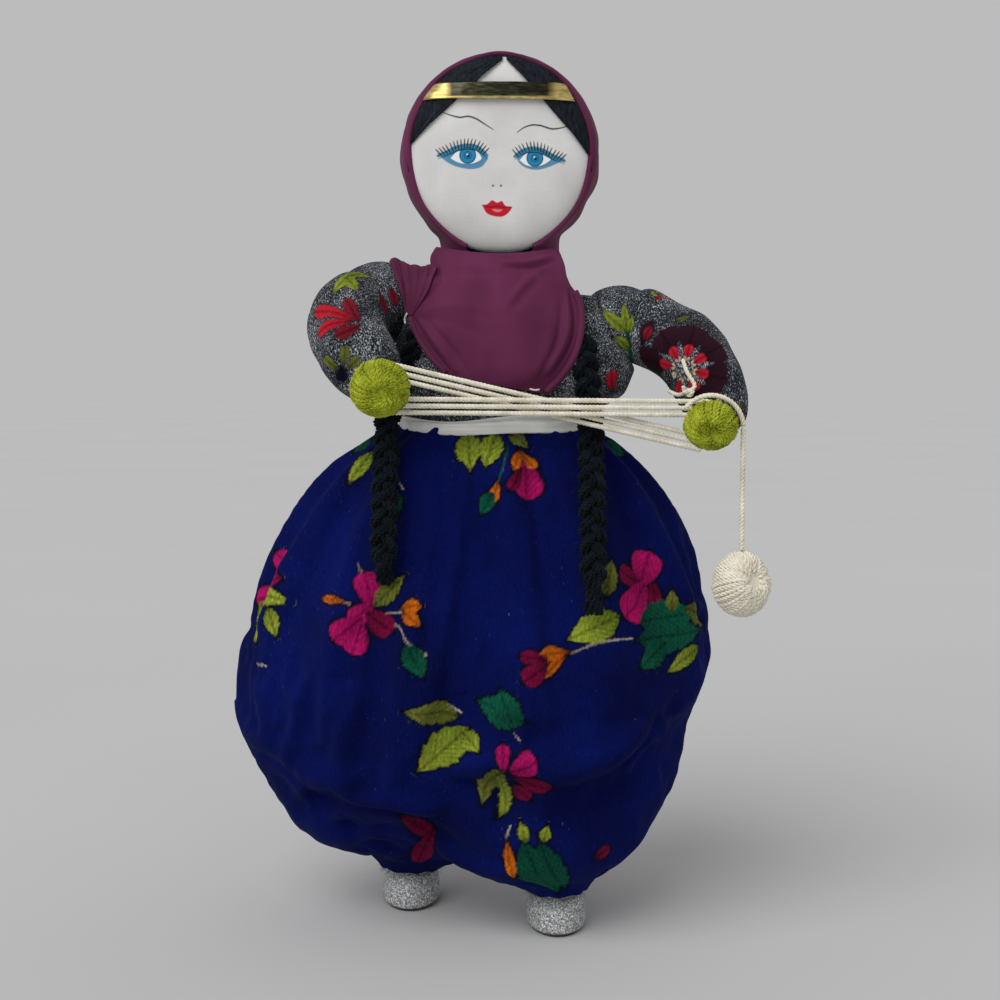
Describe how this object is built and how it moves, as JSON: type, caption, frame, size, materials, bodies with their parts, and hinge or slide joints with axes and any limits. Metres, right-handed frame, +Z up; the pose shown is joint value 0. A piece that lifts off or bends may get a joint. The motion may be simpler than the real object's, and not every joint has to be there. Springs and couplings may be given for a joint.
{
  "type": "rag doll",
  "caption": "Stuffed cloth doll with a hooded scarf, flowered blouse and balloon trousers, winding a skein of yarn between its hands, a small yarn ball hanging from one.",
  "frame": {"origin": "on the floor under the middle of the doll's box, taken without the hanging yarn and its ball", "axes": "+Z up, the doll faces -Y, its own left is at +X"},
  "size_m": [0.2111, 0.124, 0.3485],
  "materials": {
    "stuffed_cotton": "plain cotton over fibre filling",
    "face_cotton": "smooth white cotton with a printed face",
    "flowered_grey": "black and white melange wool with printed red flowers",
    "flowered_blue": "napped cobalt wool with printed flowers",
    "plum_scarf": "matt plum cotton",
    "satin": "white satin ribbon",
    "black_cloth": "smooth black cloth",
    "black_wool": "plaited black wool",
    "green_wool": "wound yellow-green wool",
    "cream_yarn": "twisted cream wool yarn",
    "gold_tape": "shiny gold tape",
    "glitter": "silver glitter felt",
    "stick_wood": "bare wood",
    "wire": "bent wire"
  },
  "bodies": {
    "trunk": {"torso": "stuffed_cotton", "spine_dowel": "stick_wood", "blouse": "flowered_grey", "waist_sash": "satin", "trousers": "flowered_blue", "trouser_stuffing": "stuffed_cotton", "scarf_bib": "plum_scarf", "left_leg": "stuffed_cotton", "left_leg_stick": "stick_wood", "left_shoe": "glitter", "left_braid_top": "black_wool", "left_shoulder_thread": "stuffed_cotton", "right_leg": "stuffed_cotton", "right_leg_stick": "stick_wood", "right_shoe": "glitter", "right_braid_top": "black_wool", "right_shoulder_thread": "stuffed_cotton"},
    "head": {"face_pad": "face_cotton", "head_back": "stuffed_cotton", "scarf_hood": "plum_scarf", "left_hair_panel": "black_cloth", "right_hair_panel": "black_cloth", "headband": "gold_tape"},
    "left_arm": {"left_arm": "flowered_grey", "left_arm_wire": "wire", "left_hand": "green_wool", "skein": "cream_yarn", "yarn_knot": "cream_yarn", "yarn_lead": "cream_yarn"},
    "right_arm": {"right_arm": "flowered_grey", "right_arm_wire": "wire", "right_hand": "green_wool"},
    "left_braid": {"left_braid": "black_wool"},
    "right_braid": {"right_braid": "black_wool"},
    "drop": {"drop_yarn": "cream_yarn"},
    "ball": {"yarn_ball": "cream_yarn"}
  },
  "joints": [
    {"name": "head_turn", "type": "hinge", "parent": "trunk", "child": "head", "pos_m": [0.00723, 0.01251, 0.28], "axis": [0, 0, 1], "range_deg": [-25, 25]},
    {"name": "left_arm_swing", "type": "hinge", "parent": "trunk", "child": "left_arm", "pos_m": [0.05523, 0.00751, 0.242], "axis": [-0.9966, 0, 0.0822], "range_deg": [0, 40]},
    {"name": "right_arm_swing", "type": "hinge", "parent": "trunk", "child": "right_arm", "pos_m": [-0.04177, 0.00751, 0.25], "axis": [-0.9966, 0, 0.0822], "range_deg": [0, 40]},
    {"name": "left_braid_swing", "type": "hinge", "parent": "trunk", "child": "left_braid", "pos_m": [0.04123, -0.02299, 0.206], "axis": [-1, 0, 0], "range_deg": [0, 25]},
    {"name": "right_braid_swing", "type": "hinge", "parent": "trunk", "child": "right_braid", "pos_m": [-0.03377, -0.01849, 0.206], "axis": [-1, 0, 0], "range_deg": [0, 25]},
    {"name": "yarn_swing", "type": "hinge", "parent": "left_arm", "child": "drop", "pos_m": [0.09688, -0.04949, 0.2025], "axis": [-1, 0, 0], "range_deg": [-20, 40]},
    {"name": "ball_spin", "type": "hinge", "parent": "drop", "child": "ball", "pos_m": [0.09688, -0.04949, 0.1425], "axis": [0, 0, 1], "continuous": true}
  ],
  "couplings": [
    {"joint": "right_arm_swing", "follows": "left_arm_swing", "ratio": 1}
  ]
}
